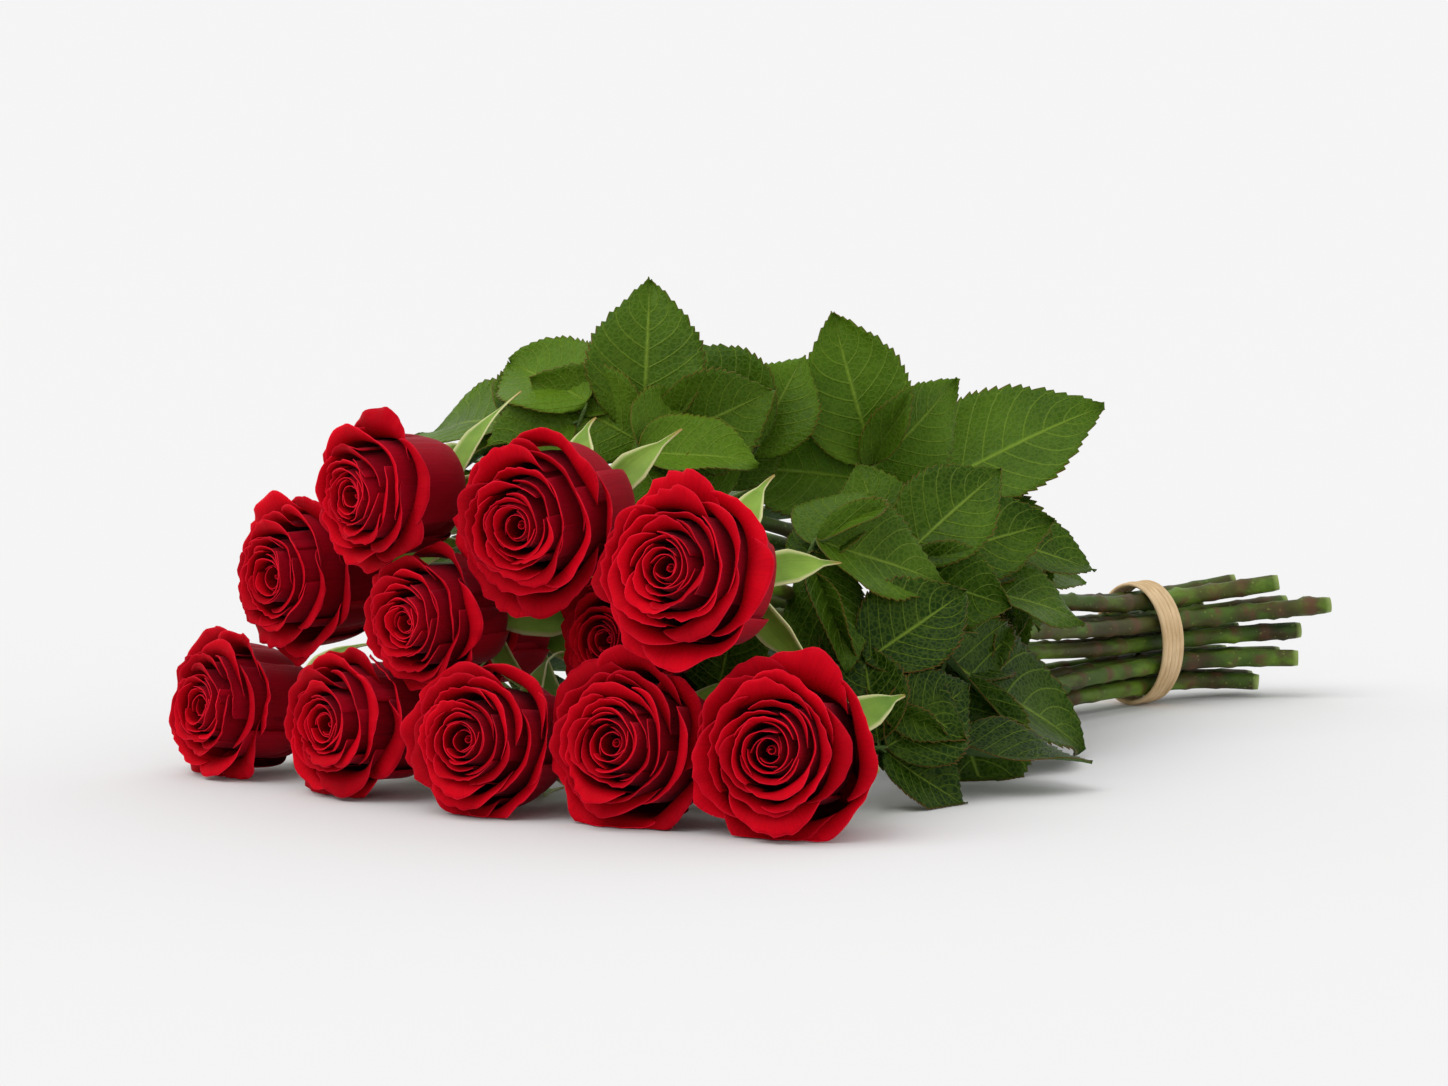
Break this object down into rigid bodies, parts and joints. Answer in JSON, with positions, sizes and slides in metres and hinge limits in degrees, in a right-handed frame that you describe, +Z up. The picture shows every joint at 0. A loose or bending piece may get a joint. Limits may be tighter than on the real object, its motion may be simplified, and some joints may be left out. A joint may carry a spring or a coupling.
{
  "type": "bunch of roses",
  "caption": "Tied bunch of long-stemmed red roses lying on its side, with full blooms, serrated compound leaves, sepals, cut stems and a tie band.",
  "frame": {"origin": "middle of the footprint of the whole bunch, on the surface that it lies on", "axes": "+X along the bunch from the blooms to the cut stem ends, +Z up from the surface"},
  "size_m": [0.5576, 0.3752, 0.2072],
  "materials": {
    "petals": "matt velvet petals",
    "calyx": "satin green sepals",
    "stem": "satin green bark with brown patches",
    "leaf": "satin green leaf",
    "band": "matt tan rubber"
  },
  "bodies": {
    "root": {"stem_01": "stem", "stem_02": "stem", "stem_03": "stem", "stem_04": "stem", "stem_05": "stem", "stem_06": "stem", "stem_07": "stem", "stem_08": "stem", "stem_09": "stem", "stem_10": "stem", "stem_11": "stem", "stem_12": "stem", "bloom_01": "petals", "bloom_02": "petals", "bloom_03": "petals", "bloom_04": "petals", "bloom_05": "petals", "bloom_06": "petals", "bloom_07": "petals", "bloom_08": "petals", "bloom_09": "petals", "bloom_10": "petals", "bloom_11": "petals", "bloom_12": "petals", "calyx_01": "calyx", "calyx_02": "calyx", "calyx_03": "calyx", "calyx_04": "calyx", "calyx_05": "calyx", "calyx_06": "calyx", "calyx_07": "calyx", "calyx_08": "calyx", "calyx_09": "calyx", "calyx_10": "calyx", "calyx_11": "calyx", "calyx_12": "calyx", "leaf_01": "leaf", "leaf_02": "leaf", "leaf_03": "leaf", "leaf_04": "leaf", "leaf_05": "leaf", "leaf_06": "leaf", "leaf_07": "leaf", "leaf_08": "leaf", "leaf_09": "leaf", "leaf_10": "leaf", "leaf_11": "leaf", "leaf_12": "leaf", "leaf_13": "leaf", "leaf_14": "leaf", "leaf_15": "leaf", "leaf_16": "leaf", "leaf_17": "leaf", "leaf_18": "leaf", "leaf_19": "leaf", "leaf_20": "leaf", "leaf_21": "leaf", "leaf_22": "leaf", "leaf_23": "leaf", "tie_band": "band"}
  },
  "joints": []
}
